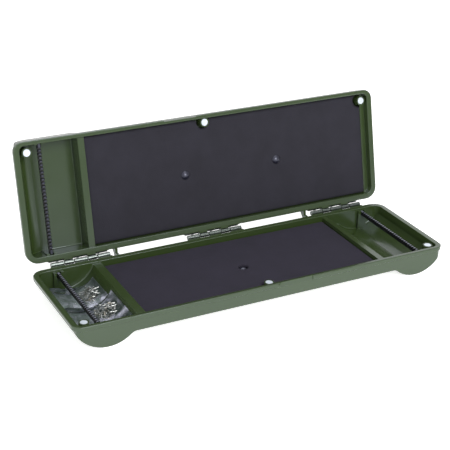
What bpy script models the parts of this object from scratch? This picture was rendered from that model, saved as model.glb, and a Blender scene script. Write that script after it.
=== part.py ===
# Fishing rig box: a long flat moulded case whose lid stands open behind the base on three hinges.
# Frame: +X runs along the box, +Y towards the hinges, +Z up. The box rests on the plane z = 0, and the
# origin lies under the middle of the open box. All sizes are in metres.
#
# Each half is modelled in the same way. Its own frame has z = 0 at the split plane, where the two rims
# meet when the box is shut, and x = y = 0 at the middle of the rim. "Depth" is the distance from that
# plane: downwards in the base, upwards in the shut lid.

import math

import bmesh
import bpy
from mathutils import Vector

# Overall size and rim
LENGTH = 0.3472
WIDTH = 0.103
LIP_HEIGHT = 0.004
LIP_OUT_END = 0.002
LIP_OUT_FRONT = 0.0006
LIP_OUT_BACK = 0.002
CORNER_FRONT = 0.008
CORNER_BACK = 0.011
RIM_END = 0.0051
RIM_FRONT = 0.0035
RIM_BACK = 0.005
RIM_ROUND = 0.0005
EDGE_ROUND = 0.001
SPLIT_GAP = 0.0004
FIT_GAP = 0.0003

# Floors and walls
BASE_DEPTH = 0.0141
LID_DEPTH = 0.0129
FLOOR = 0.002
RECESS_DEPTH = 0.002
FLOOR_FILLET = 0.0012
LID_FLOOR_FILLET = 0.0022
LID_LEAN = 0.03
HOLLOW_RISE = 0.008

# Half-round troughs of the base
TROUGH_DEPTH = 0.0228
TROUGH_RADIUS = 0.030
TROUGH_WALL = 0.0025
TROUGH_END_CUT = 0.0034
TROUGH_FILLET = 0.006
LEFT_DIVIDER = 0.0073
RIGHT_DIVIDER_SETBACK = 0.0610
RIGHT_DIVIDER = 0.0049

# Flat-bottomed trough of the lid
LID_TROUGH_DEPTH = 0.0202
LID_TROUGH_WALL = 0.0022
LID_TROUGH_END_RADIUS = 0.018
LID_TROUGH_SETBACK = 0.0561
LID_DIVIDER = 0.0057
LID_STEP_RADIUS = 0.0025
LID_EDGE_RADIUS = 0.0085
LEDGE_DEPTH = 0.0060
LEDGE_WIDTH = 0.0049

# Foam sheets
FOAM_DROP = 0.0051
FOAM_BOSS_CLEARANCE = 0.0016
STUD_STEM_RADIUS = 0.0015
LID_STUD_X = (-0.0210, 0.0703)
LID_STUD_RADIUS = 0.0039
LID_STUD_HEIGHT = 0.0021
BASE_STUD_X = -0.0025
BASE_STUD_Y = -0.0035
BASE_STUD_RADIUS = 0.0038
BASE_STUD_HEIGHT = 0.0056
BASE_FOAM_HOLE_RADIUS = 0.0045

# Magnets and their bosses
MAGNET_RADIUS = 0.003
MAGNET_THICKNESS = 0.003
BOSS_WALL = 0.0009
BOSS_DROP = 0.0008
BOSS_SETBACK_END = 0.0114
BOSS_SETBACK_FRONT = 0.0096
CENTRE_BOSS_SETBACK = 0.0071

# Combs
COMB_SETBACK = 0.0231
COMB_WIDTH = 0.0031
COMB_HEIGHT = 0.0034
COMB_CHAMFER = 0.0007
COMB_DROP = 0.0028
COMB_PITCH = 0.00305
COMB_SLOT_TOP = 0.0017
COMB_SLOT_FOOT = 0.0010
COMB_SLOT_DEPTH = 0.0024
COMB_PLAIN_END = 0.0025
PILLAR_WIDTH = 0.0090
PILLAR_OUT = 0.0028
LID_PILLAR_OUT = 0.0012

# Hinges
OPEN_ANGLE = math.radians(103.5)
HINGE_OUT = 0.0035
HINGE_SETBACK = 0.0466
HINGE_LENGTH = 0.053
KNUCKLES = 5
BASE_KNUCKLE = 0.0111
KNUCKLE_RADIUS = 0.0020
PIN_RADIUS = 0.0010
LEAF_THICKNESS = 0.0007
LEAF_HEIGHT = 0.0112
LEAF_SHOULDER = 0.0046
KNUCKLE_GAP = 0.0010
CURL_END = math.radians(-118)
RIVETS_PER_LEAF = 3
RIVET_PITCH = 0.0185
RIVET_RADIUS = 0.0012
RIVET_HEAD_RADIUS = 0.0023
RIVET_HEAD_HEIGHT = 0.0010
RIVET_DEPTH = 0.0035
LAND_MARGIN = 0.0012
LAND_ROOT = 0.0005
LAND_NOTCH_EXTRA = 0.0003

# Stop lugs and finger recesses
LUG_SETBACK = 0.0796
LUG_WIDTH = 0.0023
LUG_REACH = 0.0045
LUG_FOOT = 0.0095
FINGER_LENGTH = 0.0345
FINGER_DEPTH = 0.0012
FINGER_HEIGHT = 0.0060
FINGER_RAMP = 0.0050
BASE_FINGER_X = 0.0210
LID_FINGER_X = -0.0215

# Bags of pins
BAG_CLEARANCE = 0.0006
BAG_GAP = 0.0010
BAG_SEAM_Y = 0.0034
BAG_REAR_CLEARANCE = 0.0018
BAG_WRAP = math.radians(50)
BAG_CROWN = 0.0050
BAG_END_FALL = 0.25
BAG_EDGE = 0.0012

# Facet counts
CORNER_STEPS = 6
WELD = 0.000005
ARC_STEP = math.radians(7.5)
FILLET_STEPS = 3
ROUND_SIDES = 24
STUD_SIDES = 16
SMALL_SIDES = 12
BAG_COLUMNS = 10
BAG_ROWS = 6

HALF = LENGTH / 2
FRONT = -WIDTH / 2
BACK = WIDTH / 2
INNER_HALF = HALF - RIM_END
INNER_FRONT = FRONT + RIM_FRONT
INNER_BACK = BACK - RIM_BACK
BODY_HALF = HALF - LIP_OUT_END
BODY_FRONT = FRONT + LIP_OUT_FRONT
BODY_BACK = BACK - LIP_OUT_BACK
HINGE_Y = BACK + HINGE_OUT
RIM_DEPTH = SPLIT_GAP / 2
TROUGH_X = BODY_HALF - TROUGH_RADIUS + TROUGH_END_CUT
TROUGH_CENTRE = TROUGH_DEPTH - TROUGH_RADIUS
TROUGH_INNER_RADIUS = TROUGH_RADIUS - TROUGH_WALL
COMB_X = HALF - COMB_SETBACK
BOSS_RADIUS = MAGNET_RADIUS + FIT_GAP + BOSS_WALL
LEAF_FACE_Y = HINGE_Y - KNUCKLE_RADIUS
LAND_Y = LEAF_FACE_Y - FIT_GAP
LID_KNUCKLE = (HINGE_LENGTH - (KNUCKLES + 1) // 2 * BASE_KNUCKLE
               - (KNUCKLES - 1) * KNUCKLE_GAP) / (KNUCKLES // 2)
HINGE_XS = {"left": HINGE_SETBACK - HALF, "centre": 0.0, "right": HALF - HINGE_SETBACK}


# Small geometry helpers

def polar(centre, radius, angle):
    return (centre[0] + radius * math.cos(angle), centre[1] + radius * math.sin(angle))


def arc(centre, radius, start, end, steps):
    return [polar(centre, radius, start + (end - start) * i / steps) for i in range(steps + 1)]


def plan(half_x, front, back, round_front, round_back, inset=0.0):
    """Rounded outline seen from above, drawn in evenly by an inset."""
    x, y0, y1 = half_x - inset, front + inset, back - inset
    rf, rb = max(round_front - inset, inset), max(round_back - inset, inset)
    outline = arc((x - rf, y0 + rf), rf, -math.pi / 2, 0.0, CORNER_STEPS)
    outline += arc((x - rb, y1 - rb), rb, 0.0, math.pi / 2, CORNER_STEPS)
    outline += arc((rb - x, y1 - rb), rb, math.pi / 2, math.pi, CORNER_STEPS)
    outline += arc((rf - x, y0 + rf), rf, math.pi, 1.5 * math.pi, CORNER_STEPS)
    return outline


def rectangle(x0, x1, y0, y1):
    return [(x0, y0), (x1, y0), (x1, y1), (x0, y1)]


def loft(rings):
    """Closed body through rings of 3-D points that all have the same count."""
    bm = bmesh.new()
    layers = [[bm.verts.new(point) for point in ring] for ring in rings]
    count = len(layers[0])
    for lower, upper in zip(layers, layers[1:]):
        for i in range(count):
            j = (i + 1) % count
            bm.faces.new((lower[i], lower[j], upper[j], upper[i]))
    bm.faces.new(list(reversed(layers[0])))
    bm.faces.new(layers[-1])
    bmesh.ops.recalc_face_normals(bm, faces=bm.faces)
    return bm


def prism(outline, axis, low, high):
    """Outline swept along an axis; its two coordinates are the other axes in X, Y, Z order."""
    place = {
        "x": lambda a, b, t: (t, a, b),
        "y": lambda a, b, t: (a, t, b),
        "z": lambda a, b, t: (a, b, t),
    }[axis]
    return loft([[place(a, b, t) for a, b in outline] for t in (low, high)])


def stack(outlines_and_heights):
    return loft([[(x, y, z) for x, y in outline] for outline, z in outlines_and_heights])


def cylinder(radius, low, high, sides=ROUND_SIDES):
    return prism(arc((0.0, 0.0), radius, 0.0, 2 * math.pi * (1 - 1 / sides), sides - 1), "z", low, high)


def turned(profile, sides=ROUND_SIDES):
    """Body turned about Z from (radius, height) points that start and end on the axis."""
    bm = bmesh.new()
    verts = [bm.verts.new((radius, 0.0, height)) for radius, height in profile]
    edges = [bm.edges.new(pair) for pair in zip(verts, verts[1:])]
    bmesh.ops.spin(bm, geom=verts + edges, cent=(0, 0, 0), axis=(0, 0, 1), angle=2 * math.pi, steps=sides,
                   use_merge=True)
    bmesh.ops.remove_doubles(bm, verts=bm.verts, dist=1e-6)
    bmesh.ops.recalc_face_normals(bm, faces=bm.faces)
    return bm


def dome(radius, height, steps):
    """Profile of a domed cap from its rim to its top."""
    ball = (radius ** 2 + height ** 2) / (2 * height)
    start = math.asin(min(1.0, radius / ball))
    return [(ball * math.sin(start * (1 - i / steps)), height - ball + ball * math.cos(start * (1 - i / steps)))
            for i in range(1, steps + 1)]


# Objects and materials

def material(name, colour, roughness, metallic=0.0, alpha=1.0):
    mat = bpy.data.materials.new(name)
    mat.use_nodes = True
    shader = mat.node_tree.nodes["Principled BSDF"]
    shader.inputs["Base Color"].default_value = (*colour, 1.0)
    shader.inputs["Roughness"].default_value = roughness
    shader.inputs["Metallic"].default_value = metallic
    shader.inputs["Alpha"].default_value = alpha
    return mat


def piece(name, bm, mat=None, parent=None, location=(0.0, 0.0, 0.0)):
    mesh = bpy.data.meshes.new(name)
    bm.to_mesh(mesh)
    bm.free()
    obj = bpy.data.objects.new(name, mesh)
    bpy.context.scene.collection.objects.link(obj)
    if mat:
        mesh.materials.append(mat)
    obj.parent = parent
    obj.location = location
    return obj


def guide(name, bm, location=(0.0, 0.0, 0.0)):
    obj = piece(name, bm, location=location)
    obj.hide_render = True
    obj.display_type = "WIRE"
    return obj


def combine(target, other, operation):
    mod = target.modifiers.new(operation.lower(), "BOOLEAN")
    mod.operation = operation
    mod.object = other


def ease_edges(target, width, segments):
    mod = target.modifiers.new("edges", "BEVEL")
    mod.width = width
    mod.segments = segments
    mod.limit_method = "ANGLE"
    mod.angle_limit = math.radians(50)
    return mod


def settle(target, *used):
    """Turns the target's modifiers into its mesh and removes the guides that shaped it."""
    bpy.context.view_layer.update()
    graph = bpy.context.evaluated_depsgraph_get()
    mesh = bpy.data.meshes.new_from_object(target.evaluated_get(graph))
    target.modifiers.clear()
    old = target.data
    target.data = mesh
    bpy.data.meshes.remove(old)
    for other in used:
        bpy.data.objects.remove(other)


def weld(target):
    """Joins the corners that the Booleans left within a hair of each other."""
    bm = bmesh.new()
    bm.from_mesh(target.data)
    bmesh.ops.remove_doubles(bm, verts=bm.verts, dist=WELD)
    bmesh.ops.dissolve_degenerate(bm, dist=WELD, edges=bm.edges)
    bm.to_mesh(target.data)
    bm.free()


def shade(target, angle=math.radians(35)):
    target.data.shade_smooth()
    target.data.set_sharp_from_angle(angle=angle)


# Side views of the two halves, as (x, depth) points

def trough_arc(radius, start, end):
    """Points of a half-round trough; angles are measured from its lowest line, with one flat facet there."""
    count = int(math.pi / ARC_STEP)
    inner = [(k + 0.5) * ARC_STEP for k in range(-count, count)]
    low, high = min(start, end), max(start, end)
    angles = [low] + [a for a in inner if low + ARC_STEP / 4 < a < high - ARC_STEP / 4] + [high]
    if start > end:
        angles.reverse()
    return [(TROUGH_X + radius * math.sin(a), TROUGH_CENTRE + radius * math.cos(a)) for a in angles]


def base_outer_side():
    """Right half of the base's outline, from the rim at the end to the middle of the flat underside."""
    end_angle = math.asin((BODY_HALF - TROUGH_X) / TROUGH_RADIUS)
    fillet_depth = BASE_DEPTH + TROUGH_FILLET
    reach = TROUGH_RADIUS + TROUGH_FILLET
    across = math.sqrt(reach ** 2 - (fillet_depth - TROUGH_CENTRE) ** 2)
    fillet_angle = -math.atan2(across, fillet_depth - TROUGH_CENTRE)
    points = [(BODY_HALF, 0.0)]
    points += trough_arc(TROUGH_RADIUS, end_angle, fillet_angle)
    centre = (TROUGH_X - across, fillet_depth)
    towards_trough = math.atan2(TROUGH_CENTRE - fillet_depth, across)
    points += arc(centre, TROUGH_FILLET, towards_trough, -math.pi / 2, FILLET_STEPS)[1:]
    return points


def base_outer():
    right = base_outer_side()
    return right + [(-x, depth) for x, depth in reversed(right)]


def trough_edge(depth):
    """Distance of a trough's inner wall from the trough's middle at a depth."""
    return math.sqrt(TROUGH_INNER_RADIUS ** 2 - (depth - TROUGH_CENTRE) ** 2)


def base_trough_left():
    end_angle = math.asin((INNER_HALF - TROUGH_X) / TROUGH_INNER_RADIUS)
    top_angle = -math.atan2(trough_edge(RECESS_DEPTH), RECESS_DEPTH - TROUGH_CENTRE)
    wall = trough_arc(TROUGH_INNER_RADIUS, end_angle, top_angle)
    points = [(INNER_HALF, -HOLLOW_RISE)] + wall + [(wall[-1][0], -HOLLOW_RISE)]
    return [(-x, depth) for x, depth in points]


def base_trough_right():
    shelf = BASE_DEPTH - FLOOR
    end_angle = math.asin((INNER_HALF - TROUGH_X) / TROUGH_INNER_RADIUS)
    shelf_angle = -math.atan2(trough_edge(shelf), shelf - TROUGH_CENTRE)
    divider = HALF - RIGHT_DIVIDER_SETBACK
    wall = trough_arc(TROUGH_INNER_RADIUS, end_angle, shelf_angle)
    return [(INNER_HALF, -HOLLOW_RISE)] + wall + [(divider, shelf), (divider, -HOLLOW_RISE)]


def base_pocket(x0, x1):
    floor = BASE_DEPTH - FLOOR
    return [(x0, -HOLLOW_RISE), (x0, floor), (x1, floor), (x1, -HOLLOW_RISE)]


def lid_outer():
    step = LID_TROUGH_SETBACK - HALF + LID_TROUGH_WALL
    end_round = LID_TROUGH_END_RADIUS
    edge = LID_EDGE_RADIUS
    small = LID_STEP_RADIUS
    points = [(BODY_HALF, 0.0)]
    points += arc((BODY_HALF - edge, LID_DEPTH - edge), edge, 0.0, math.pi / 2, CORNER_STEPS)
    points += [(step + FLOOR, LID_DEPTH)]
    points += arc((step - small, LID_TROUGH_DEPTH - small), small, 0.0, math.pi / 2, FILLET_STEPS)
    centre = (end_round - BODY_HALF, LID_TROUGH_DEPTH - end_round)
    points += arc(centre, end_round, math.pi / 2, math.pi, 2 * CORNER_STEPS)
    points += [(-BODY_HALF, 0.0)]
    return points


def lid_trough():
    floor = LID_TROUGH_DEPTH - LID_TROUGH_WALL
    end_round = LID_TROUGH_END_RADIUS - LID_TROUGH_WALL
    wall = LID_TROUGH_SETBACK - HALF
    centre = (end_round - INNER_HALF, floor - end_round)
    points = [(wall, -HOLLOW_RISE), (wall, floor)]
    points += arc(centre, end_round, math.pi / 2, math.pi, 2 * CORNER_STEPS)
    return points + [(-INNER_HALF, -HOLLOW_RISE)]


def lid_pocket(x0, x1):
    """Foam pocket with a ledge at its right end, where the lid's outer edge is rounded."""
    floor = LID_DEPTH - FLOOR
    return [(x0, -HOLLOW_RISE), (x0, floor), (x1, floor), (x1, LEDGE_DEPTH), (INNER_HALF, LEDGE_DEPTH),
            (INNER_HALF, -HOLLOW_RISE)]


# The moulded halves. side is -1 for the base, whose depth runs down, and +1 for the lid.

def lip_rings(side):
    steps = ((RIM_DEPTH, RIM_ROUND), (RIM_DEPTH + RIM_ROUND / 3, RIM_ROUND / 3), (RIM_DEPTH + RIM_ROUND, 0.0),
             (LIP_HEIGHT - RIM_ROUND, 0.0), (LIP_HEIGHT, RIM_ROUND))
    return [(plan(HALF, FRONT, BACK, CORNER_FRONT, CORNER_BACK, inset), side * depth) for depth, inset in steps]


def inner_plan(inset=0.0):
    round_front = CORNER_FRONT - RIM_FRONT
    round_back = CORNER_BACK - RIM_BACK
    return plan(INNER_HALF, INNER_FRONT, INNER_BACK, round_front, round_back, inset)


def recess_rings(side):
    """The shallow hollow inside the whole rim, with the rim's inner edge eased."""
    steps = ((RECESS_DEPTH, 0.0), (RIM_DEPTH + RIM_ROUND, 0.0), (RIM_DEPTH + RIM_ROUND / 3, -RIM_ROUND / 3),
             (RIM_DEPTH, -RIM_ROUND), (-RIM_ROUND, -RIM_ROUND))
    return [(inner_plan(inset), side * depth) for depth, inset in steps]


def magnet_spots():
    end_x = HALF - BOSS_SETBACK_END
    end_y = FRONT + BOSS_SETBACK_FRONT
    return {"left": (-end_x, end_y), "centre": (0.0, FRONT + CENTRE_BOSS_SETBACK), "right": (end_x, end_y)}


def sweep(profile, side, front, back, lean):
    """A side view swept from front to back, whose front and back walls lean in with depth."""
    return loft([[(x, front + lean * depth, side * depth) for x, depth in profile],
                 [(x, back - lean * depth, side * depth) for x, depth in profile]])


def hollow(profile, side, lean, fillet):
    """A side view swept across the inside of the rim, with its ends rounded like the rim's corners."""
    bm = sweep(profile, side, INNER_FRONT, INNER_BACK, lean)
    weights = bm.edges.layers.float.new("bevel_weight_edge")
    for edge in bm.edges:
        buried = all(side * vert.co.z > 0.0 for vert in edge.verts)
        if buried and edge.calc_face_angle() > math.radians(60):
            edge[weights] = 1.0
    body = guide("hollow", bm)
    if fillet:
        ease_edges(body, fillet, FILLET_STEPS).limit_method = "WEIGHT"
    limit = guide("limit", prism(inner_plan(), "z", -LENGTH, LENGTH))
    combine(body, limit, "INTERSECT")
    settle(body, limit)
    return body


def pillars(x, out):
    """Two upright pads, on the front and back walls, that carry the ends of one comb."""
    half = PILLAR_WIDTH / 2
    return [guide("pillar", prism(rectangle(x - half, x + half, wall - out, wall + out), "z",
                                  -TROUGH_RADIUS, TROUGH_RADIUS)) for wall in (INNER_FRONT, INNER_BACK)]


def knuckle_span(k):
    """Ends of a hinge's knuckle along the pin. Even numbers are the base leaf's, odd ones the lid leaf's."""
    pair = BASE_KNUCKLE + LID_KNUCKLE + 2 * KNUCKLE_GAP
    start = -HINGE_LENGTH / 2 + k // 2 * pair
    if k % 2 == 0:
        return start, start + BASE_KNUCKLE
    start += BASE_KNUCKLE + KNUCKLE_GAP
    return start, start + LID_KNUCKLE


def notch_span(k):
    """Ends of the gap that one leaf and its land leave for the other leaf's knuckle."""
    start, end = knuckle_span(k)
    start -= KNUCKLE_GAP if k else 2 * LAND_MARGIN
    end += KNUCKLE_GAP if k < KNUCKLES - 1 else 2 * LAND_MARGIN
    return start, end


def hinge_land(side, hinge_x, own):
    """Raised pad behind the rim that backs one leaf, notched where the other leaf's knuckles turn."""
    half = HINGE_LENGTH / 2 + LAND_MARGIN
    floor = BASE_DEPTH if side < 0 else LID_DEPTH
    low, high = sorted((side * RIM_DEPTH, side * (floor - EDGE_ROUND)))
    land = guide("land", prism(rectangle(hinge_x - half, hinge_x + half, INNER_BACK + LAND_ROOT, LAND_Y), "z",
                               low, high))
    notches = []
    for k in set(range(KNUCKLES)) - own:
        x0, x1 = notch_span(k)
        outline = rectangle(hinge_x + x0, hinge_x + x1, BACK - LAND_NOTCH_EXTRA, HINGE_Y)
        notches.append(guide("notch", prism(outline, "z", -LEAF_SHOULDER, LEAF_SHOULDER)))
    return land, notches


def rivet_xs(hinge_x):
    return [hinge_x + (k - (RIVETS_PER_LEAF - 1) / 2) * RIVET_PITCH for k in range(RIVETS_PER_LEAF)]


def rivet_depth():
    """Depth of the row of rivets, midway down the flat of a leaf."""
    return (LEAF_SHOULDER + LEAF_HEIGHT) / 2


def stop_lug(side, x):
    """Fin behind the rim. Its slanted face meets the other half's lug when the lid is fully open."""
    half_angle = OPEN_ANGLE / 2
    along = Vector((math.cos(half_angle), math.sin(half_angle)))
    inward = Vector((-along.y, along.x))
    start = Vector((HINGE_Y, 0.0)) + inward * (FIT_GAP / 2)
    near = start + along * ((FIT_GAP - start.y) / along.y)
    far = start + along * LUG_REACH
    points = [(BODY_BACK - FLOOR, FIT_GAP), tuple(near), tuple(far), (BODY_BACK - FLOOR, LUG_FOOT)]
    outline = [(y, side * depth) for y, depth in points]
    return guide("lug", prism(outline, "x", x - LUG_WIDTH / 2, x + LUG_WIDTH / 2))


def finger_recess(side, centre_x):
    """Wedge-shaped scoop at the top of the front wall, square at one end and running out at the other."""
    x0, x1 = centre_x - FINGER_LENGTH / 2, centre_x + FINGER_LENGTH / 2
    section = [(-FINGER_DEPTH, 2 * FINGER_HEIGHT), (2 * FINGER_DEPTH, -FINGER_HEIGHT),
               (-FINGER_DEPTH, -FINGER_HEIGHT)]
    if side < 0:
        stations = ((x0, FINGER_DEPTH), (x0 + FINGER_RAMP, 0.0), (x1, 0.0))
    else:
        stations = ((x0, 0.0), (x1 - FINGER_RAMP, 0.0), (x1, FINGER_DEPTH))
    return guide("finger", loft([[(x, FRONT + y - back_off, side * depth) for y, depth in section]
                                 for x, back_off in stations]))


def shell(name, side, outer, lean, troughs, fillet, pocket, combs, pillar_out, own, finger_x, mat, parent,
          location):
    reach = TROUGH_RADIUS
    body_plan = plan(BODY_HALF, BODY_FRONT, BODY_BACK, CORNER_FRONT - LIP_OUT_END, CORNER_BACK - LIP_OUT_END)
    body = piece(name, sweep(outer, side, BODY_FRONT, BODY_BACK, lean), mat)
    ease_edges(body, EDGE_ROUND, 2)
    limit = guide("limit", prism(body_plan, "z", *sorted((side * RIM_DEPTH * 2, side * LENGTH))))
    combine(body, limit, "INTERSECT")
    settle(body, limit)
    lip = guide("lip", stack(lip_rings(side)))
    combine(body, lip, "UNION")
    settle(body, lip)

    for hinge_x in HINGE_XS.values():
        land, notches = hinge_land(side, hinge_x, own)
        combine(body, land, "UNION")
        for notch in notches:
            combine(body, notch, "DIFFERENCE")
        settle(body, land, *notches)

    cavity = guide("cavity", stack(recess_rings(side)))
    parts = [hollow(profile, side, lean, fillet) for profile in troughs]
    parts.append(hollow(pocket, side, lean, 0.0))
    for part in parts:
        combine(cavity, part, "UNION")
    settle(cavity, *parts)
    kept = [pillar for x in combs for pillar in pillars(x, pillar_out)]
    for pillar in kept:
        pillar.location.z = side * (RECESS_DEPTH + TROUGH_RADIUS)
    for x, y in magnet_spots().values():
        low, high = sorted((side * (RIM_DEPTH + BOSS_DROP), side * reach))
        kept.append(guide("boss", cylinder(BOSS_RADIUS, low, high), (x, y, 0.0)))
    for other in kept:
        combine(cavity, other, "DIFFERENCE")
    settle(cavity, *kept)
    combine(body, cavity, "DIFFERENCE")
    settle(body, cavity)

    cuts = [finger_recess(side, finger_x)]
    for x in combs:
        foot = COMB_DROP + COMB_HEIGHT + FIT_GAP
        half = COMB_WIDTH / 2 + FIT_GAP
        low, high = sorted((0.0, side * foot))
        cuts.append(guide("slot", prism(rectangle(x - half, x + half, INNER_FRONT, INNER_BACK), "z", low, high)))
    for x, y in magnet_spots().values():
        top = RIM_DEPTH + BOSS_DROP
        low, high = sorted((0.0, side * (top + MAGNET_THICKNESS + FIT_GAP)))
        cuts.append(guide("seat", cylinder(MAGNET_RADIUS + FIT_GAP, low, high), (x, y, 0.0)))
    for hinge_x in HINGE_XS.values():
        for x in rivet_xs(hinge_x):
            hole = guide("hole", cylinder(RIVET_RADIUS + FIT_GAP, 0.0, RIVET_DEPTH + FIT_GAP, SMALL_SIDES),
                         (x, LAND_Y + FIT_GAP, side * rivet_depth()))
            hole.rotation_euler.x = math.pi / 2
            cuts.append(hole)
    for cut in cuts:
        combine(body, cut, "DIFFERENCE")
    settle(body, *cuts)
    lugs = [stop_lug(side, x) for x in (LUG_SETBACK - HALF, HALF - LUG_SETBACK)]
    for lug in lugs:
        combine(body, lug, "UNION")
    settle(body, *lugs)
    weld(body)
    shade(body)
    body.parent = parent
    body.location = location
    return body


# The pieces that go into the halves

def foam_sheet(name, side, x0, x1, floor, lean, holes, mat, parent, offset):
    """Foam sheet between the shell's walls, cut away round the magnet bosses and the studs."""
    profile = rectangle(x0 + FIT_GAP, x1 - FIT_GAP, FOAM_DROP, floor - FIT_GAP)
    sheet = piece(name, sweep(profile, side, INNER_FRONT + FIT_GAP, INNER_BACK - FIT_GAP, lean), mat)
    cuts = []
    for x, y in magnet_spots().values():
        if x0 < x < x1:
            cuts.append(guide("clear", cylinder(BOSS_RADIUS + FOAM_BOSS_CLEARANCE, -LENGTH, LENGTH), (x, y, 0.0)))
    for x, y, radius in holes:
        cuts.append(guide("hole", cylinder(radius, -LENGTH, LENGTH), (x, y, 0.0)))
    for cut in cuts:
        combine(sheet, cut, "DIFFERENCE")
    settle(sheet, *cuts)
    shade(sheet)
    sheet.parent = parent
    sheet.location = offset
    return sheet


def comb(name, side, x, mat, parent, offset):
    """Square bar across a compartment with a row of tapered slots along its open edge."""
    y0, y1 = INNER_FRONT + FIT_GAP, INNER_BACK - FIT_GAP
    count = int((y1 - y0 - 2 * COMB_PLAIN_END) / COMB_PITCH)
    first = (y0 + y1 - (count - 1) * COMB_PITCH) / 2
    top, slot, foot = COMB_DROP, COMB_DROP + COMB_SLOT_DEPTH, COMB_DROP + COMB_HEIGHT
    outline = [(y0, foot), (y0, top)]
    for k in range(count):
        y = first + k * COMB_PITCH
        outline += [(y - COMB_SLOT_TOP / 2, top), (y - COMB_SLOT_FOOT / 2, slot),
                    (y + COMB_SLOT_FOOT / 2, slot), (y + COMB_SLOT_TOP / 2, top)]
    outline += [(y1, top), (y1, foot)]
    bar = prism([(y, side * depth) for y, depth in outline], "x", -COMB_WIDTH / 2, COMB_WIDTH / 2)
    obj = piece(name, bar, mat)
    cuts = []
    for way in (-1, 1):
        edge, reach = way * COMB_WIDTH / 2, 2 * COMB_CHAMFER
        corner = [(edge - way * reach, top - COMB_CHAMFER), (edge + way * COMB_CHAMFER, top - COMB_CHAMFER),
                  (edge + way * COMB_CHAMFER, top + reach)]
        cuts.append(guide("corner", prism([(a, side * depth) for a, depth in corner], "y", FRONT, BACK)))
        combine(obj, cuts[-1], "DIFFERENCE")
    settle(obj, *cuts)
    obj.parent = parent
    obj.location = (x, offset[1], offset[2])
    return obj


def magnet(name, side, spot, mat, parent, offset):
    top = RIM_DEPTH + BOSS_DROP
    low, high = sorted((side * top, side * (top + MAGNET_THICKNESS)))
    disc = cylinder(MAGNET_RADIUS, low, high)
    obj = piece(name, disc, mat, parent, (spot[0], offset[1] + spot[1], offset[2]))
    shade(obj)
    return obj


def leaf(name, side, own, mat, parent, hinge_x, offset):
    """Leaf of one hinge: a flat plate on the land whose knuckles curl round the pin."""
    eye = KNUCKLE_RADIUS - LEAF_THICKNESS
    curl = int(round((math.pi - CURL_END) / math.radians(20)))
    outline = [(LEAF_FACE_Y, LEAF_HEIGHT)]
    outline += [(y, -z) for y, z in arc((HINGE_Y, 0.0), KNUCKLE_RADIUS, math.pi, CURL_END, curl)]
    outline += [(y, -z) for y, z in arc((HINGE_Y, 0.0), eye, CURL_END, math.pi, curl)]
    outline += [(LEAF_FACE_Y + LEAF_THICKNESS, LEAF_HEIGHT)]
    plate = piece(name, prism([(y, side * depth) for y, depth in outline], "x", -HINGE_LENGTH / 2,
                              HINGE_LENGTH / 2), mat)
    cuts = []
    low, high = sorted((-side * LEAF_HEIGHT, side * LEAF_SHOULDER))
    for k in set(range(KNUCKLES)) - own:
        x0, x1 = notch_span(k)
        cuts.append(guide("gap", prism(rectangle(x0, x1, BACK, HINGE_Y + 2 * KNUCKLE_RADIUS), "z", low, high)))
    for x in rivet_xs(0.0):
        hole = guide("hole", cylinder(RIVET_RADIUS + FIT_GAP, -HINGE_OUT, HINGE_OUT, SMALL_SIDES),
                     (x, LEAF_FACE_Y, side * rivet_depth()))
        hole.rotation_euler.x = math.pi / 2
        cuts.append(hole)
    for cut in cuts:
        combine(plate, cut, "DIFFERENCE")
    settle(plate, *cuts)
    shade(plate)
    plate.parent = parent
    plate.location = (hinge_x, offset[1], offset[2])
    return plate


def hinge_pin(name, mat, parent, hinge_x, offset):
    bm = prism(arc((HINGE_Y, 0.0), PIN_RADIUS, 0.0, 2 * math.pi * (1 - 1 / SMALL_SIDES), SMALL_SIDES - 1), "x",
               -HINGE_LENGTH / 2, HINGE_LENGTH / 2)
    pin = piece(name, bm, mat, parent, (hinge_x, offset[1], offset[2]))
    shade(pin)
    return pin


def rivet(name, side, x, mat, parent, offset):
    """One rivet, head outwards, through a leaf and into the shell's land."""
    seat = LEAF_THICKNESS + FIT_GAP
    profile = [(0.0, -RIVET_DEPTH), (RIVET_RADIUS, -RIVET_DEPTH), (RIVET_RADIUS, seat), (RIVET_HEAD_RADIUS, seat)]
    profile += [(r, h + seat) for r, h in dome(RIVET_HEAD_RADIUS, RIVET_HEAD_HEIGHT, 3)]
    obj = piece(name, turned(profile, SMALL_SIDES), mat, parent,
                (x, offset[1] + LEAF_FACE_Y, offset[2] + side * rivet_depth()))
    obj.rotation_euler.x = -math.pi / 2
    shade(obj)
    return obj


def stud(name, side, place, radius, height, stem, mat, parent, offset):
    """Domed stud at a place (x, y, depth), with a stem that goes down through the foam."""
    profile = [(0.0, 0.0)]
    if stem:
        profile = [(0.0, -stem), (STUD_STEM_RADIUS, -stem), (STUD_STEM_RADIUS, 0.0)]
    profile += [(radius, 0.0)] + dome(radius, height, 4)
    x, y, depth = place
    obj = piece(name, turned(profile, STUD_SIDES), mat, parent, (x, offset[1] + y, offset[2] + side * depth))
    obj.rotation_euler.x = math.pi if side > 0 else 0.0
    shade(obj)
    return obj


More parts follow.
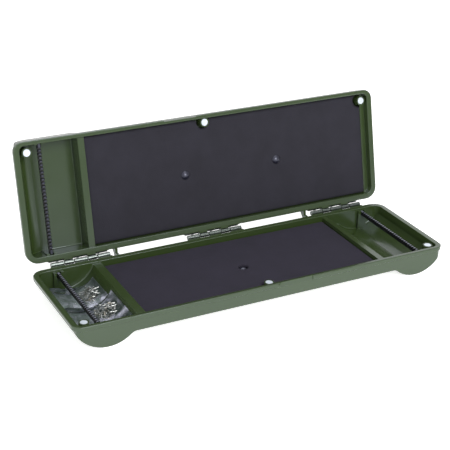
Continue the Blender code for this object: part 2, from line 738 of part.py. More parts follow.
def pin_bag(name, y0, y1, mat, parent, offset):
    """Soft pouch curved to the trough's round floor, thick in the middle and thin along its sealed edges."""
    outer = TROUGH_INNER_RADIUS - BAG_CLEARANCE
    bm = bmesh.new()
    skins = ([], [])
    for i in range(BAG_COLUMNS + 1):
        u = i / BAG_COLUMNS
        angle = BAG_WRAP * (2 * u - 1)
        for skin in skins:
            skin.append([])
        for j in range(BAG_ROWS + 1):
            v = j / BAG_ROWS
            fullness = 1.0 - BAG_END_FALL * (1.0 - max(0.0, math.sin(math.pi * v)))
            swell = fullness * max(0.0, math.sin(math.pi * u)) ** 0.5
            for skin, radius in zip(skins, (outer, outer - BAG_EDGE - BAG_CROWN * swell)):
                x = radius * math.sin(angle) - TROUGH_X
                z = -TROUGH_CENTRE - radius * math.cos(angle)
                skin[i].append(bm.verts.new((x, y0 + (y1 - y0) * v, z)))
    loops = []
    for skin in skins:
        for here, there in zip(skin, skin[1:]):
            for j in range(BAG_ROWS):
                bm.faces.new((here[j], there[j], there[j + 1], here[j + 1]))
        loops.append([column[0] for column in skin] + skin[-1][1:-1]
                     + [column[-1] for column in reversed(skin)] + skin[0][-2:0:-1])
    for i, (below, above) in enumerate(zip(*loops)):
        j = (i + 1) % len(loops[0])
        bm.faces.new((below, loops[0][j], loops[1][j], above))
    bmesh.ops.recalc_face_normals(bm, faces=bm.faces)
    bag = piece(name, bm, mat)
    corner_x, corner_y = magnet_spots()["left"]
    yields = guide("yields", cylinder(BOSS_RADIUS + BAG_CLEARANCE, -LENGTH, LENGTH), (corner_x, corner_y, 0.0))
    combine(bag, yields, "DIFFERENCE")
    settle(bag, yields)
    shade(bag, math.radians(60))
    bag.parent = parent
    bag.location = offset
    return bag


def centre_on_ground(empties):
    """Moves everything so that the open box stands on z = 0 with the origin under its middle."""
    bpy.context.view_layer.update()
    pieces = [obj for obj in bpy.data.objects if obj.type == "MESH"]
    points = [obj.matrix_world @ vert.co for obj in pieces for vert in obj.data.vertices]
    low, high = ([limit(point[i] for point in points) for i in range(3)] for limit in (min, max))
    shift = Vector(((low[0] + high[0]) / 2, (low[1] + high[1]) / 2, low[2]))
    for empty in empties:
        empty.location -= shift


def main():
    for obj in list(bpy.data.objects):
        bpy.data.objects.remove(obj)

    green = material("moulded green", (0.095, 0.125, 0.072), 0.42)
    foam = material("foam", (0.045, 0.043, 0.055), 0.95)
    black = material("comb rubber", (0.012, 0.012, 0.020), 0.55)
    bright = material("magnet nickel", (0.80, 0.82, 0.84), 0.25, 1.0)
    steel = material("hinge steel", (0.62, 0.64, 0.64), 0.28, 1.0)
    gloss = material("stud plastic", (0.035, 0.033, 0.045), 0.18)
    film = material("clear film", (0.62, 0.66, 0.68), 0.20, 0.0, 0.45)

    base = bpy.data.objects.new("base_middle", None)
    lid = bpy.data.objects.new("lid_axis", None)
    lid.location.y = HINGE_Y
    lid.rotation_euler.x = -OPEN_ANGLE
    for empty in (base, lid):
        bpy.context.scene.collection.objects.link(empty)
    base_offset = (0.0, 0.0, 0.0)
    lid_offset = (0.0, -HINGE_Y, 0.0)

    base_floor = BASE_DEPTH - FLOOR
    lid_floor = LID_DEPTH - FLOOR
    base_x0 = -TROUGH_X + trough_edge(RECESS_DEPTH) + LEFT_DIVIDER
    base_x1 = HALF - RIGHT_DIVIDER_SETBACK - RIGHT_DIVIDER
    lid_x0 = LID_TROUGH_SETBACK - HALF + LID_DIVIDER
    lid_x1 = INNER_HALF - LEDGE_WIDTH
    base_knuckles = set(range(0, KNUCKLES, 2))
    lid_knuckles = set(range(1, KNUCKLES, 2))

    shell("base_shell", -1, base_outer(), 0.0, (base_trough_left(), base_trough_right()), FLOOR_FILLET,
          base_pocket(base_x0, base_x1), (-COMB_X, COMB_X), PILLAR_OUT, base_knuckles, BASE_FINGER_X, green,
          base, base_offset)
    shell("lid_shell", 1, lid_outer(), LID_LEAN, (lid_trough(),), LID_FLOOR_FILLET,
          lid_pocket(lid_x0, lid_x1), (-COMB_X,), LID_PILLAR_OUT, lid_knuckles, LID_FINGER_X, green,
          lid, lid_offset)

    foam_sheet("base_foam", -1, base_x0, base_x1, base_floor, 0.0,
               ((BASE_STUD_X, BASE_STUD_Y, BASE_FOAM_HOLE_RADIUS),), foam, base, base_offset)
    foam_sheet("lid_foam", 1, lid_x0, lid_x1, lid_floor, LID_LEAN,
               [(x, 0.0, STUD_STEM_RADIUS + FIT_GAP) for x in LID_STUD_X], foam, lid, lid_offset)

    comb("base_comb_left", -1, -COMB_X, black, base, base_offset)
    comb("base_comb_right", -1, COMB_X, black, base, base_offset)
    comb("lid_comb", 1, -COMB_X, black, lid, lid_offset)

    for place, spot in magnet_spots().items():
        magnet("base_magnet_" + place, -1, spot, bright, base, base_offset)
        magnet("lid_magnet_" + place, 1, spot, bright, lid, lid_offset)

    for place, hinge_x in HINGE_XS.items():
        leaf(place + "_hinge_base_leaf", -1, base_knuckles, steel, base, hinge_x, base_offset)
        leaf(place + "_hinge_lid_leaf", 1, lid_knuckles, steel, lid, hinge_x, lid_offset)
        hinge_pin(place + "_hinge_pin", steel, base, hinge_x, base_offset)
        for number, x in enumerate(rivet_xs(hinge_x), 1):
            rivet(f"{place}_hinge_base_rivet_{number}", -1, x, steel, base, base_offset)
            rivet(f"{place}_hinge_lid_rivet_{number}", 1, x, steel, lid, lid_offset)

    head_depth = FOAM_DROP - FIT_GAP
    for place, x in zip(("left", "right"), LID_STUD_X):
        stud("lid_foam_stud_" + place, 1, (x, 0.0, head_depth), LID_STUD_RADIUS, LID_STUD_HEIGHT,
             lid_floor - FIT_GAP - head_depth, gloss, lid, lid_offset)
    stud("base_foam_stud", -1, (BASE_STUD_X, BASE_STUD_Y, base_floor - FIT_GAP), BASE_STUD_RADIUS,
         BASE_STUD_HEIGHT, 0.0, gloss, base, base_offset)

    pin_bag("front_pin_bag", INNER_FRONT + PILLAR_OUT + BAG_CLEARANCE, BAG_SEAM_Y, film, base, base_offset)
    pin_bag("rear_pin_bag", BAG_SEAM_Y + BAG_GAP, INNER_BACK - PILLAR_OUT - BAG_REAR_CLEARANCE, film, base,
            base_offset)
    centre_on_ground((base, lid))


main()
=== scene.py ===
"""Looks of the fishing rig box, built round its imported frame. Metres, +Z up, the row's own frame."""

import math
import random

import bmesh
import bpy
from mathutils import Euler, Matrix, Vector, noise


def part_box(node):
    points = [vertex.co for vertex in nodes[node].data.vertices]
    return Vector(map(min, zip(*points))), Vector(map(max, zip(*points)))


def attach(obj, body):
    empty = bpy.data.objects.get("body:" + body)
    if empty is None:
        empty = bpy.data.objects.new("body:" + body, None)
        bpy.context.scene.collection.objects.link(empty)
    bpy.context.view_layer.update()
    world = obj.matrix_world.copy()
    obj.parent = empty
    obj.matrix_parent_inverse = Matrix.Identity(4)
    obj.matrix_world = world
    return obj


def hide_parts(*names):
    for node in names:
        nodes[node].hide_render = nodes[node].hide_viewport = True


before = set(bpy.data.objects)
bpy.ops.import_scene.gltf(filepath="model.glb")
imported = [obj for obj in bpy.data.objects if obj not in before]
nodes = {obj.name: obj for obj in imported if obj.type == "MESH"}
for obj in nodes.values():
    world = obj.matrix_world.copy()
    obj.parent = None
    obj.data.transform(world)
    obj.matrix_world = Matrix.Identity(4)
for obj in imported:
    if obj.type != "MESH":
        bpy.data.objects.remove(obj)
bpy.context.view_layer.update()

# Middle of the base's rim, from which the camera and the bags are placed
HALF_BASE_WIDTH = 0.0515
HALF_RIM_SPLIT = 0.0002
shell_low, shell_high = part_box("base_shell")
RIM_X = 0.0
RIM_Y = shell_low[1] + HALF_BASE_WIDTH
RIM_Z = shell_high[2] + HALF_RIM_SPLIT

# Camera, solved from the rim corners and magnets in the photograph
CAMERA_FROM_RIM = (-0.444188, -0.789803, 0.463187)
CAMERA_TURN = (64.4942, -1.6409, -27.5015)
CAMERA_LENS = 95.306
CAMERA_SENSOR = 36.0
CAMERA_NEAR = 0.01

# The ways that the insides of the base and of the open lid face
UP = Vector((0.0, 0.0, 1.0))
LID_TILT = math.radians(13.5)
LID_FACE = Vector((0.0, -math.cos(LID_TILT), math.sin(LID_TILT)))

# Edges between faces that meet at more than these degrees stay sharp
SHARP_ANGLE = 40.0
STUD_SHARP_ANGLE = 70.0

# Vertices closer than this are joined, in the kept nodes and in the new pieces
CAD_WELD = 2e-6
FINE_WELD = 1e-6

# How far below its top the crest of a comb tooth starts to take its painted highlight, and takes it fully
CREST_HIGHLIGHT_STARTS = 0.00016
CREST_HIGHLIGHT_FULL = 0.00007
CREST_HIGHLIGHT_RAGGED = 0.00003

# Foam sheets
FOAM_GRID = 0.0012
FOAM_SOFTENING = 0.5
FOAM_PASSES = 3
FOAM_UNEVEN = 0.00015
FOAM_WAVES = 45.0

# Left trough of the base, which holds the bags. Their lower film lies just clear of its wall.
TROUGH_X = -0.145
TROUGH_RADIUS = 0.0275
TROUGH_AXIS_Z = RIM_Z + 0.0072
FILM_CLEARANCE = 0.0005
BAG_RADIUS = TROUGH_RADIUS - FILM_CLEARANCE

# Ends of the two films across the trough, and how much sooner than its solid the rear one ends
BAG_WEST = -0.1652
FRONT_BAG_EAST = -0.1208
REAR_BAG_EAST = -0.1232
REAR_FILM_SHORTER = 0.004

# Depth of the upper film below the rim, at places across the trough
FILM_DEPTHS = ((BAG_WEST, 0.0092), (-0.158, 0.0102), (-0.152, 0.0122), (TROUGH_X, 0.0138),
               (-0.137, 0.0142), (-0.130, 0.0132), (-0.1246, 0.0108), (FRONT_BAG_EAST, 0.0070))
LEAST_RISE = 0.0003
LEAST_THICKNESS = 0.0001

# Milky seams: how far behind a film's front end the first one lies, and how wide they are
FRONT_SEAM_INSET = 0.017
FRONT_SEAM_WIDTH = 0.0065
REAR_SEAM_INSET = 0.001
REAR_SEAM_WIDTH = 0.0055
REAR_END_WIDTH = 0.0020

# Crumples of the film: wavy edges, wide and fine folds, and how fast it swells to its full height from the
# share of it that it has at its ends and sides
FILM_STEPS_ACROSS = 64
FILM_STEPS_ALONG = 60
EDGE_WAVE = 0.0007
EDGE_WAVES = 120.0
FAR_EDGE_SHIFT = 4.0
INNER_WAVE_SHARE = 0.3
FOLD_HEIGHT = 0.0009
WIDE_FOLD = 0.011
FINE_FOLD = 0.005
WIDE_FOLD_SHARE = 0.6
FINE_FOLD_SHIFT = Vector((0.3, 0.1, 0.0))
SWELL_ALONG = 6.5
SWELL_ACROSS = 14.0
OPEN_ENDS = 0.30
OPEN_SIDES = 0.05
FOLD_GROWTH = 8.0

# Loose pins
PINS_PER_BAG = 120
PIN_LENGTHS = (0.0032, 0.0062)
PIN_RADIUS = 0.00032
PIN_HEAD_RADIUS = 0.0006
PIN_DEPTHS = (0.0008, 0.0026)
PIN_TILTS = (-0.32, 0.32)

# Floor and room
FLOOR_DROP = 0.0002
FLOOR_REACH = 6.0
FLOOR_GLOW = 0.78
FAR_FLOOR_GLOW = 0.15
FLOOR_FADE = (0.5, 1.3)
WHITE = (1.0, 1.0, 1.0, 1.0)
ROOM_LIGHT = 0.25
BACKGROUND_LIGHT = 1.6


# Node trees

class Tree:
    """Short way to add and join shader nodes. Their patterns are laid out by one texture coordinate."""

    def __init__(self, tree, coordinate):
        self.tree = tree
        self.place = self.add("ShaderNodeTexCoord").outputs[coordinate]

    def feed(self, node, key, value):
        """Link an output to a node's input, or write a plain value into it."""
        if isinstance(value, bpy.types.NodeSocket):
            self.tree.links.new(value, node.inputs[key])
        else:
            node.inputs[key].default_value = value

    def add(self, kind, inputs=None, **settings):
        node = self.tree.nodes.new(kind)
        for key, value in settings.items():
            setattr(node, key, value)
        for key, value in (inputs or {}).items():
            self.feed(node, key, value)
        return node

    def noise(self, scale, detail=3.0, rough=0.55, stretch=None, warp=0.0):
        place = self.place
        if stretch:
            place = self.add("ShaderNodeMapping", {"Vector": place, "Scale": stretch}).outputs["Vector"]
        inputs = {"Vector": place, "Scale": scale, "Detail": detail, "Roughness": rough, "Distortion": warp}
        return self.add("ShaderNodeTexNoise", inputs).outputs["Fac"]

    def cells(self, scale):
        return self.add("ShaderNodeTexVoronoi", {"Vector": self.place, "Scale": scale}).outputs["Distance"]

    def along(self, axis):
        return self.add("ShaderNodeSeparateXYZ", {"Vector": self.place}).outputs[axis]

    def ramp(self, factor, low, high, start=0.3, end=0.7):
        """Colour that goes from low to high while the factor goes from start to end."""
        node = self.add("ShaderNodeValToRGB", {"Fac": factor})
        first, last = node.color_ramp.elements
        first.position, last.position = start, end
        first.color, last.color = (*low, 1.0), (*high, 1.0)
        return node.outputs["Color"]

    def spread(self, factor, low, high, start=0.3, end=0.7):
        """Number that goes from low to high while the factor goes from start to end."""
        inputs = {"Value": factor, "From Min": start, "From Max": end, "To Min": low, "To Max": high}
        return self.add("ShaderNodeMapRange", inputs).outputs["Result"]

    def maths(self, operation, first, second=0.0):
        return self.add("ShaderNodeMath", {0: first, 1: second}, operation=operation).outputs["Value"]


class Look(Tree):
    """Material round one Principled shader. Patterns laid over its plain values take their place."""

    def __init__(self, name, colour, roughness, metallic=0.0):
        self.material = bpy.data.materials.new(name)
        self.material.use_nodes = True
        super().__init__(self.material.node_tree, "Object")
        self.shader = self.tree.nodes["Principled BSDF"]
        self.give("Base Color", (*colour, 1.0))
        self.give("Roughness", roughness)
        self.give("Metallic", metallic)

    def give(self, key, value):
        """Feed one input of the shader."""
        self.feed(self.shader, key, value)

    def gloss(self, level, tint):
        self.give("Specular IOR Level", level)
        self.give("Specular Tint", (*tint, 1.0))

    def rounded_edges(self, radius):
        normal = self.add("ShaderNodeBevel", {"Radius": radius}, samples=4).outputs["Normal"]
        self.give("Normal", normal)
        return normal

    def bump(self, height, strength, distance, before=None):
        """Relief of this height, on top of the relief or rounding that came before it."""
        inputs = {"Height": height, "Strength": strength, "Distance": distance}
        if before:
            inputs["Normal"] = before
        normal = self.add("ShaderNodeBump", inputs).outputs["Normal"]
        self.give("Normal", normal)
        return normal


# Materials

def moulded_green():
    """Satin polypropylene with a fine moulded grain and faint flow marks."""
    look = Look("moulded green plastic", (0.035, 0.060, 0.014), roughness=0.21)
    drift = look.noise(scale=14.0, detail=2.0, stretch=(0.4, 1.0, 1.0))
    look.give("Base Color", look.ramp(drift, (0.032, 0.053, 0.014), (0.038, 0.061, 0.018)))
    look.give("Roughness", look.spread(look.noise(scale=90.0), low=0.17, high=0.25))
    edges = look.rounded_edges(radius=0.0004)
    look.bump(look.noise(scale=2600.0, detail=2.0), strength=0.08, distance=0.0001, before=edges)
    # The bluish specular tint is a painted reflection colour: it stands in for bluish light reflected from
    # the room.
    look.gloss(0.70, tint=(0.80, 0.86, 1.0))
    return look.material


def foam(name, dark, light):
    """Closed-cell foam: dark, matt and finely pitted."""
    look = Look(name, dark, roughness=0.95)
    look.give("Base Color", look.ramp(look.noise(scale=55.0, detail=4.0), dark, light))
    pits = look.bump(look.cells(scale=1500.0), strength=0.35, distance=0.0002)
    look.bump(look.noise(scale=420.0, detail=4.0, rough=0.65), strength=0.25, distance=0.0003, before=pits)
    look.give("Specular IOR Level", 0.2)
    return look.material


def comb_rubber(name, up, crest, highlight_colour):
    """Black rubber with a painted highlight: pale on the crests of its teeth. The crest is their height in
    the direction up.
    """
    look = Look(name, (0.004, 0.004, 0.007), roughness=0.4)
    height = look.add("ShaderNodeVectorMath", {0: look.place, 1: up}, operation="DOT_PRODUCT")
    # Painted highlight: the crests of the teeth are coloured pale, as if they caught the light, with a ragged
    # lower edge.
    ragged = look.spread(look.noise(scale=900.0), low=-CREST_HIGHLIGHT_RAGGED, high=CREST_HIGHLIGHT_RAGGED)
    reach = look.maths("ADD", height.outputs["Value"], ragged)
    crest_highlight = look.spread(reach, low=0.0, high=1.0, start=crest - CREST_HIGHLIGHT_STARTS, end=crest - CREST_HIGHLIGHT_FULL)
    look.give("Base Color", look.ramp(crest_highlight, (0.002, 0.002, 0.004), highlight_colour, start=0.0, end=1.0))
    look.give("Roughness", look.spread(look.noise(scale=700.0), low=0.30, high=0.45))
    look.rounded_edges(radius=0.0002)
    return look.material


def nickel():
    """Bright plate on the magnets, faintly clouded."""
    look = Look("nickel plate", (0.66, 0.72, 0.80), roughness=0.45, metallic=0.45)
    look.give("Roughness", look.spread(look.noise(scale=500.0), low=0.38, high=0.52))
    look.bump(look.noise(scale=1500.0), strength=0.06, distance=0.0001)
    return look.material


def rolled_steel():
    """Steel of the hinges, with fine rolling marks along the box."""
    look = Look("rolled steel", (0.11, 0.13, 0.12), roughness=0.20, metallic=1.0)
    look.give("Base Color", look.ramp(look.noise(scale=260.0), (0.13, 0.15, 0.14), (0.17, 0.19, 0.18)))
    streaks = look.noise(scale=900.0, stretch=(0.08, 1.0, 1.0))
    look.give("Roughness", look.spread(streaks, low=0.14, high=0.26))
    edges = look.rounded_edges(radius=0.00025)
    marks = look.noise(scale=1600.0, stretch=(0.06, 1.0, 1.0))
    look.bump(marks, strength=0.12, distance=0.0001, before=edges)
    return look.material


def stud_plastic():
    """Glossy black of the studs in the foam."""
    look = Look("glossy black stud", (0.006, 0.006, 0.014), roughness=0.4)
    clouds = look.noise(scale=300.0)
    look.give("Base Color", look.ramp(clouds, (0.004, 0.004, 0.010), (0.006, 0.006, 0.014)))
    look.give("Roughness", look.spread(look.noise(scale=400.0), low=0.31, high=0.37))
    # The bluish specular tint is a painted reflection colour, giving the studs a blue highlight.
    look.gloss(0.9, tint=(0.80, 0.82, 1.0))
    return look.material


def pin_metal():
    """Plated wire, partly gilt."""
    look = Look("plated pins", (0.44, 0.41, 0.33), roughness=0.40, metallic=0.9)
    plating = look.noise(scale=130.0)
    look.give("Base Color", look.ramp(plating, (0.42, 0.37, 0.28), (0.48, 0.49, 0.48), start=0.34, end=0.50))
    look.give("Roughness", look.spread(look.noise(scale=800.0), low=0.34, high=0.48))
    return look.material


def clear_film(name, seams):
    """Thin polythene: clear where it lies smooth, pale where it is crumpled, which is a painted highlight,
    and milky along its welded seams.

    Each seam is a place along Y and a width. It is fainter on the outer side of the comb.
    """
    look = Look(name, (0.62, 0.62, 0.74), roughness=0.14)
    crumple = look.noise(scale=95.0, detail=5.0, rough=0.68, warp=0.7)
    # Painted highlight: the film is made pale over a crumple pattern, as if its folds caught the light. The
    # seams below add real milky bands.
    painted_sheen_and_seam_milk = look.spread(crumple, low=0.06, high=0.50, start=0.50, end=0.76)
    drift = look.spread(look.noise(scale=70.0), low=-0.003, high=0.003)
    place = look.maths("ADD", look.along("Y"), drift)
    inner_side = look.spread(look.along("X"), low=0.40, high=1.0, start=-0.153, end=-0.146)
    patches = look.noise(scale=170.0, detail=4.0, rough=0.6, warp=0.5)
    patchy = look.spread(patches, low=0.12, high=0.80, start=0.42, end=0.58)
    for seam, width in seams:
        away = look.maths("ABSOLUTE", look.maths("SUBTRACT", place, seam))
        beside = look.spread(away, low=1.0, high=0.0, start=0.2 * width, end=width)
        near = look.maths("MULTIPLY", beside, inner_side)
        painted_sheen_and_seam_milk = look.maths("MAXIMUM", painted_sheen_and_seam_milk, look.maths("MULTIPLY", near, patchy))
    ripples = look.noise(scale=240.0, detail=4.0, rough=0.6, warp=0.6)
    rippled = look.bump(ripples, strength=0.5, distance=0.0006)
    mirroring = look.add("ShaderNodeFresnel", {"IOR": 1.5, "Normal": rippled}).outputs["Fac"]
    look.give("Alpha", look.maths("MAXIMUM", painted_sheen_and_seam_milk, look.maths("MULTIPLY", mirroring, 1.1)))
    look.give("Base Color", look.ramp(painted_sheen_and_seam_milk, (0.21, 0.27, 0.25), (0.58, 0.60, 0.72), start=0.06, end=0.42))
    return look.material


# Kept nodes

def smooth_by_angle(limit):
    """Geometry nodes that join a node's split triangles and shade it smooth between its sharp edges."""
    tree = bpy.data.node_groups.new("smooth shading", "GeometryNodeTree")
    tree.interface.new_socket("Geometry", in_out="INPUT", socket_type="NodeSocketGeometry")
    tree.interface.new_socket("Geometry", in_out="OUTPUT", socket_type="NodeSocketGeometry")
    start = tree.nodes.new("NodeGroupInput")
    merge = tree.nodes.new("GeometryNodeMergeByDistance")
    merge.inputs["Distance"].default_value = CAD_WELD
    drop = tree.nodes.new("GeometryNodeRemoveAttribute")
    drop.inputs["Name"].default_value = "custom_normal"
    smooth = tree.nodes.new("GeometryNodeSetShadeSmooth")
    smooth.domain = "FACE"
    smooth.inputs["Shade Smooth"].default_value = True
    angle = tree.nodes.new("GeometryNodeInputMeshEdgeAngle")
    above = tree.nodes.new("ShaderNodeMath")
    above.operation = "GREATER_THAN"
    above.inputs[1].default_value = math.radians(limit)
    sharp = tree.nodes.new("GeometryNodeSetShadeSmooth")
    sharp.domain = "EDGE"
    sharp.inputs["Shade Smooth"].default_value = False
    end = tree.nodes.new("NodeGroupOutput")
    chain = (start, merge, drop, smooth, sharp, end)
    for before, after in zip(chain, chain[1:]):
        tree.links.new(before.outputs[0], after.inputs[0])
    tree.links.new(angle.outputs["Unsigned Angle"], above.inputs[0])
    tree.links.new(above.outputs[0], sharp.inputs["Selection"])
    return tree


def named(word):
    """Names of the nodes that have this word in them."""
    return [name for name in nodes if word in name]


def dress(names, material, smoothing=None):
    """Give nodes their material and, where asked for, smooth shading."""
    for name in names:
        mesh = nodes[name].data
        mesh.materials.clear()
        mesh.materials.append(material)
        if smoothing:
            nodes[name].modifiers.new("smoothing", "NODES").node_group = smoothing
            nodes[name].modifiers.new("weighted", "WEIGHTED_NORMAL").keep_sharp = True


def keep_nodes():
    """Dress every node that stays in the picture."""
    smoothing = smooth_by_angle(SHARP_ANGLE)
    dress(named("shell"), moulded_green(), smoothing)
    base_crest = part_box("base_comb_left")[1][2]
    lid_corners = [nodes["lid_comb"].matrix_world @ vert.co for vert in nodes["lid_comb"].data.vertices]
    lid_crest = max(corner.dot(LID_FACE) for corner in lid_corners)
    # The pale crests of both combs are a painted highlight.
    base_rubber = comb_rubber("base comb rubber", UP, base_crest, highlight_colour=(0.15, 0.16, 0.20))
    lid_rubber = comb_rubber("lid comb rubber", LID_FACE, lid_crest, highlight_colour=(0.022, 0.025, 0.044))
    dress(named("base_comb"), base_rubber)
    dress(named("lid_comb"), lid_rubber)
    dress(named("magnet"), nickel(), smoothing)
    dress(named("hinge"), rolled_steel(), smoothing)
    dress(named("stud"), stud_plastic(), smooth_by_angle(STUD_SHARP_ANGLE))


# New pieces

def new_piece(name, mesh, material, body):
    """Visible piece that moves with its body and carries its one material."""
    obj = bpy.data.objects.new(name, mesh)
    bpy.context.scene.collection.objects.link(obj)
    mesh.materials.append(material)
    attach(obj, body)
    return obj


def new_mesh(name, bm):
    mesh = bpy.data.meshes.new(name)
    bm.to_mesh(mesh)
    bm.free()
    return mesh


def foam_pad(name, node, material, body, up):
    """Foam sheet with soft edges and a faintly uneven face, over the same outline as its solid."""
    mesh = nodes[node].data.copy()
    mesh.materials.clear()
    obj = new_piece(name, mesh, material, body)
    obj.modifiers.new("weld", "WELD").merge_threshold = FINE_WELD
    skin = obj.modifiers.new("skin", "REMESH")
    skin.mode = "VOXEL"
    skin.voxel_size = FOAM_GRID
    skin.use_smooth_shade = True
    soft = obj.modifiers.new("soft", "SMOOTH")
    soft.factor = FOAM_SOFTENING
    soft.iterations = FOAM_PASSES
    bpy.context.view_layer.update()
    obj.data = bpy.data.meshes.new_from_object(obj.evaluated_get(bpy.context.evaluated_depsgraph_get()))
    obj.modifiers.clear()
    bpy.data.meshes.remove(mesh)
    low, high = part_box(node)
    middle = (Vector(low) + Vector(high)) / 2
    for vert in obj.data.vertices:
        if (vert.co - middle).dot(up) > 0.0:
            vert.co += up * FOAM_UNEVEN * noise.noise(vert.co * FOAM_WAVES)
    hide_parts(node)


def between(value, table):
    """Straight-line reading of a table of (place, value) pairs."""
    for (a, at_a), (b, at_b) in zip(table, table[1:]):
        if value <= b:
            share = min(max((value - a) / (b - a), 0.0), 1.0)
            return at_a + share * (at_b - at_a)
    return table[-1][1]


def bag_floor(x):
    """Height of the lower film, which follows the trough."""
    return TROUGH_AXIS_Z - math.sqrt(BAG_RADIUS ** 2 - (x - TROUGH_X) ** 2)


def bag_top(x):
    """Height of the upper film without its crumples. It hangs in the trough and rises at both walls."""
    return max(RIM_Z - between(x, FILM_DEPTHS), bag_floor(x) + LEAST_RISE)


def crease(point, size):
    """Ridged noise: thin folds between smooth facets."""
    return 1.0 - 2.0 * abs(noise.noise(point / size))


def crumpled_height(x, y, shift, u, v):
    """Height of the upper film at the share u of its width and v of its length."""
    from_end = min(v, 1.0 - v)
    from_side = min(u, 1.0 - u)
    swell = min(1.0, SWELL_ALONG * from_end + OPEN_ENDS) * min(1.0, SWELL_ACROSS * from_side + OPEN_SIDES)
    spot = Vector((x, y, shift))
    fold = WIDE_FOLD_SHARE * crease(spot, WIDE_FOLD)
    fold += (1.0 - WIDE_FOLD_SHARE) * crease(spot + FINE_FOLD_SHIFT, FINE_FOLD)
    floor = bag_floor(x)
    grown = min(1.0, FOLD_GROWTH * min(from_end, from_side))
    rise = (bag_top(x) - floor) * swell + FOLD_HEIGHT * fold * grown
    return max(floor + rise, floor + LEAST_THICKNESS)


def film_rows(bm, ends, east, shift, upper):
    """Grid of vertices of the lower or upper film, row by row from front to back."""
    rows = []
    for j in range(FILM_STEPS_ALONG + 1):
        v = j / FILM_STEPS_ALONG
        row = []
        for i in range(FILM_STEPS_ACROSS + 1):
            u = i / FILM_STEPS_ACROSS
            x = BAG_WEST + u * (east - BAG_WEST)
            wave = EDGE_WAVE * noise.noise(Vector((x * EDGE_WAVES, shift, FAR_EDGE_SHIFT * round(v))))
            y = ends[0] + v * (ends[1] - ends[0]) + wave * (1.0 if v in (0.0, 1.0) else INNER_WAVE_SHARE)
            z = crumpled_height(x, y, shift, u, v) if upper else bag_floor(x)
            row.append(bm.verts.new((x, y, z)))
        rows.append(row)
    return rows


def bag_skin(name, node, ends, east, shift, material):
    """Pillow of thin film between two places along Y, welded along all its edges.

    The lower film follows the trough and the upper one is crumpled. The shift picks its crumples.
    """
    across, along = FILM_STEPS_ACROSS, FILM_STEPS_ALONG
    bm = bmesh.new()
    low = film_rows(bm, ends, east, shift, upper=False)
    high = film_rows(bm, ends, east, shift, upper=True)
    for rows, step in ((low, -1), (high, 1)):
        for j in range(along):
            for i in range(across):
                corners = (rows[j][i], rows[j][i + 1], rows[j + 1][i + 1], rows[j + 1][i])
                bm.faces.new(corners[::step])
    ring = [(0, i) for i in range(across)] + [(j, across) for j in range(along)]
    ring += [(along, i) for i in range(across, 0, -1)] + [(j, 0) for j in range(along, 0, -1)]
    for (ja, ia), (jb, ib) in zip(ring, ring[1:] + ring[:1]):
        bm.faces.new((low[ja][ia], low[jb][ib], high[jb][ib], high[ja][ia]))
    bmesh.ops.remove_doubles(bm, verts=bm.verts, dist=FINE_WELD)
    mesh = new_mesh(name, bm)
    for face in mesh.polygons:
        face.use_smooth = True
    obj = new_piece(name, mesh, material, "base")
    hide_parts(node)


def pin_pile(name, middle, reach, seed, material):
    """Loose wire pins, each with a round head, heaped in an oval under the film."""
    dice = random.Random(seed)
    bm = bmesh.new()
    for _ in range(PINS_PER_BAG):
        turn = dice.uniform(0.0, 2.0 * math.pi)
        far = math.sqrt(dice.random())
        x = middle[0] + reach[0] * far * math.cos(turn)
        y = RIM_Y + middle[1] + reach[1] * far * math.sin(turn)
        length = dice.uniform(*PIN_LENGTHS)
        heading = dice.uniform(0.0, math.pi)
        half = length / 2 * abs(math.cos(heading))
        spots = [min(max(x + side * half, BAG_WEST), REAR_BAG_EAST) for side in (-1, 0, 1)]
        top = min(bag_top(spot) for spot in spots)
        floor = max(bag_floor(spot) for spot in spots)
        z = max(top - dice.uniform(*PIN_DEPTHS), floor + PIN_HEAD_RADIUS)
        lean = Euler((0.0, dice.uniform(*PIN_TILTS) + math.pi / 2, heading), "XYZ").to_matrix().to_4x4()
        place = Matrix.Translation((x, y, z)) @ lean
        head = place @ Matrix.Translation((0.0, 0.0, length / 2))
        bmesh.ops.create_cone(bm, cap_ends=True, segments=6, radius1=PIN_RADIUS, radius2=PIN_RADIUS,
                              depth=length, matrix=place)
        bmesh.ops.create_uvsphere(bm, u_segments=6, v_segments=4, radius=PIN_HEAD_RADIUS, matrix=head)
    new_piece(name, new_mesh(name, bm), material, "base")


def bags():
    """Two bags, one behind the other in the left trough, with pins under their films."""
    front_low, front_high = (corner[1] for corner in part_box("front_pin_bag"))
    rear_low, rear_high = (corner[1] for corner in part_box("rear_pin_bag"))
    rear_back = rear_high - REAR_FILM_SHORTER
    front_seams = ((front_low + FRONT_SEAM_INSET, FRONT_SEAM_WIDTH), (front_high, FRONT_SEAM_WIDTH))
    rear_seams = ((rear_low + REAR_SEAM_INSET, REAR_SEAM_WIDTH), (rear_back, REAR_END_WIDTH))
    bag_skin("front_bag_film", "front_pin_bag", (front_low, front_high), FRONT_BAG_EAST, shift=0.37,
             material=clear_film("front bag film", front_seams))
    bag_skin("rear_bag_film", "rear_pin_bag", (rear_low, rear_back), REAR_BAG_EAST, shift=2.11,
             material=clear_film("rear bag film", rear_seams))
    metal = pin_metal()
    pin_pile("front_bag_pins", middle=(-0.1330, -0.013), reach=(0.0078, 0.0115), seed=5, material=metal)
    pin_pile("rear_bag_pins", middle=(-0.1345, 0.020), reach=(0.0075, 0.0105), seed=9, material=metal)


# Stage, lights and camera

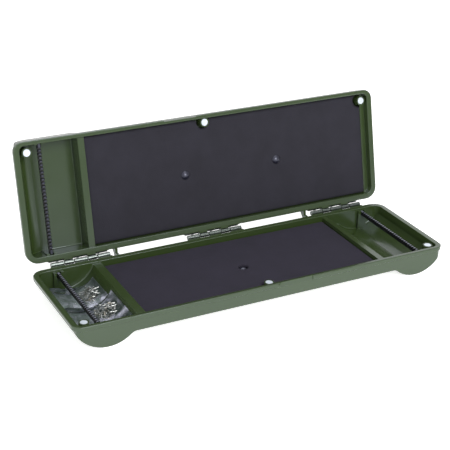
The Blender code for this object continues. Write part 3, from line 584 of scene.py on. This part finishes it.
def pale_floor():
    """White floor that keeps the box's shadow. It glows, and fades with distance to all but the camera."""
    bm = bmesh.new()
    bmesh.ops.create_grid(bm, x_segments=1, y_segments=1, size=FLOOR_REACH)
    floor = bpy.data.objects.new("floor", new_mesh("floor", bm))
    floor.location.z = -FLOOR_DROP
    bpy.context.scene.collection.objects.link(floor)
    look = Look("pale floor", (0.88, 0.88, 0.88), roughness=0.9)
    floor.data.materials.append(look.material)
    far = look.add("ShaderNodeVectorMath", {0: look.place}, operation="LENGTH").outputs["Value"]
    faded = look.spread(far, FLOOR_GLOW, FAR_FLOOR_GLOW, *FLOOR_FADE)
    seen = look.add("ShaderNodeLightPath").outputs["Is Camera Ray"]
    strength = look.maths("MAXIMUM", faded, look.maths("MULTIPLY", seen, FLOOR_GLOW))
    glow = look.add("ShaderNodeEmission", {"Strength": strength}).outputs["Emission"]
    both = look.add("ShaderNodeAddShader", {0: look.shader.outputs["BSDF"], 1: glow}).outputs["Shader"]
    look.feed(look.tree.nodes["Material Output"], "Surface", both)


def white_world():
    """Soft white room, pure white to the camera.

    Rays that are mirrored or let through meet it brightest behind the box and dimmest at the front right.
    """
    world = bpy.data.worlds.new("studio")
    bpy.context.scene.world = world
    world.use_nodes = True
    room = Tree(world.node_tree, "Generated")
    soft = room.tree.nodes["Background"]
    room.feed(soft, "Color", WHITE)
    room.feed(soft, "Strength", ROOM_LIGHT)
    behind = room.spread(room.along("Y"), low=0.55, high=1.4, start=-0.45, end=0.25)
    beside = room.spread(room.along("X"), low=0.95, high=0.0, start=0.20, end=0.60)
    ray = room.add("ShaderNodeLightPath").outputs
    seen = room.maths("MULTIPLY", ray["Is Camera Ray"], BACKGROUND_LIGHT)
    strength = room.maths("MAXIMUM", room.maths("MAXIMUM", behind, beside), seen)
    bright = room.add("ShaderNodeBackground", {"Color": WHITE, "Strength": strength})
    direct = room.maths("MAXIMUM", ray["Is Camera Ray"], ray["Is Glossy Ray"])
    direct = room.maths("MAXIMUM", direct, ray["Is Transmission Ray"])
    shaders = {"Fac": direct, 1: soft.outputs["Background"], 2: bright.outputs["Background"]}
    mix = room.add("ShaderNodeMixShader", shaders).outputs["Shader"]
    room.feed(room.tree.nodes["World Output"], "Surface", mix)


def lamp(name, place, aim, size, power, mirrored=False):
    """Soft rectangular lamp. Shiny pieces show its reflection only where it is mirrored."""
    data = bpy.data.lights.new(name, "AREA")
    data.shape = "RECTANGLE"
    data.size, data.size_y = size
    data.energy = power
    obj = bpy.data.objects.new(name, data)
    obj.location = place
    obj.rotation_euler = (Vector(aim) - Vector(place)).to_track_quat("-Z", "Y").to_euler()
    obj.visible_glossy = mirrored
    bpy.context.scene.collection.objects.link(obj)


def camera():
    data = bpy.data.cameras.new("camera")
    data.lens = CAMERA_LENS
    data.sensor_width = CAMERA_SENSOR
    data.sensor_fit = "HORIZONTAL"
    data.clip_start = CAMERA_NEAR
    obj = bpy.data.objects.new("camera", data)
    obj.location = Vector((RIM_X, RIM_Y, RIM_Z)) + Vector(CAMERA_FROM_RIM)
    obj.rotation_euler = Euler([math.radians(angle) for angle in CAMERA_TURN], "XYZ")
    bpy.context.scene.collection.objects.link(obj)
    bpy.context.scene.camera = obj


keep_nodes()
base_sheet = foam("base foam", dark=(0.027, 0.025, 0.036), light=(0.031, 0.028, 0.042))
# The lid's sheet is the same foam in a darker, less blue colour: painted shade for the light it lies in.
lid_sheet = foam("shaded lid foam", dark=(0.024, 0.023, 0.030), light=(0.028, 0.027, 0.036))
foam_pad("base_foam_sheet", "base_foam", base_sheet, "base", UP)
foam_pad("lid_foam_sheet", "lid_foam", lid_sheet, "lid", LID_FACE)
bags()
pale_floor()
white_world()
lamp("key", (0.15, -1.55, 1.3), aim=(0.0, 0.0, 0.03), size=(1.2, 1.0), power=30.0, mirrored=True)
lamp("front", (-0.5, -1.9, 0.85), aim=(0.0, 0.0, 0.04), size=(1.4, 0.8), power=6.5, mirrored=True)
lamp("left", (-1.8, -0.1, 0.22), aim=(0.0, 0.0, 0.03), size=(0.9, 0.2), power=8.0)
lamp("top", (0.2, 0.3, 1.9), aim=(0.0, 0.0, 0.0), size=(1.6, 1.2), power=10.0, mirrored=True)
camera()
bpy.context.scene.view_settings.view_transform = "Standard"
